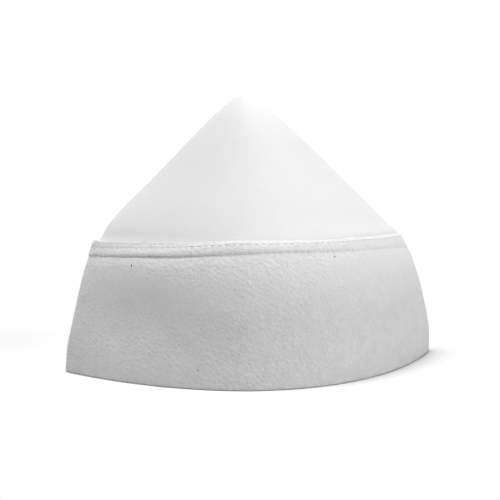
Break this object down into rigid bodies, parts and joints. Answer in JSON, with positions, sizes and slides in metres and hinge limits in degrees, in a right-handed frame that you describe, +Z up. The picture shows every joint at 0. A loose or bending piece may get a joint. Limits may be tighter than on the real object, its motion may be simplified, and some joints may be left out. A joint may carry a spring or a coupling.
{
  "type": "prayer cap",
  "caption": "Pointed prayer cap in thick white fleece: a hollow cone-shaped crown with a front and a back crease, in a tall, doubled, flaring band with a stitched welt.",
  "frame": {"origin": "middle of the cap's footprint, on the surface that the band's hem rests on", "axes": "+Z up to the peak; +X from the front crease to the back crease; +Y to the wearer's right"},
  "size_m": [0.2175, 0.1772, 0.1542],
  "materials": {
    "crown_fleece": "matt white fleece, one layer, short even nap",
    "band_fleece": "matt white fleece, doubled, short felted nap"
  },
  "bodies": {
    "root": {"crown": "crown_fleece", "band": "band_fleece"}
  },
  "joints": []
}
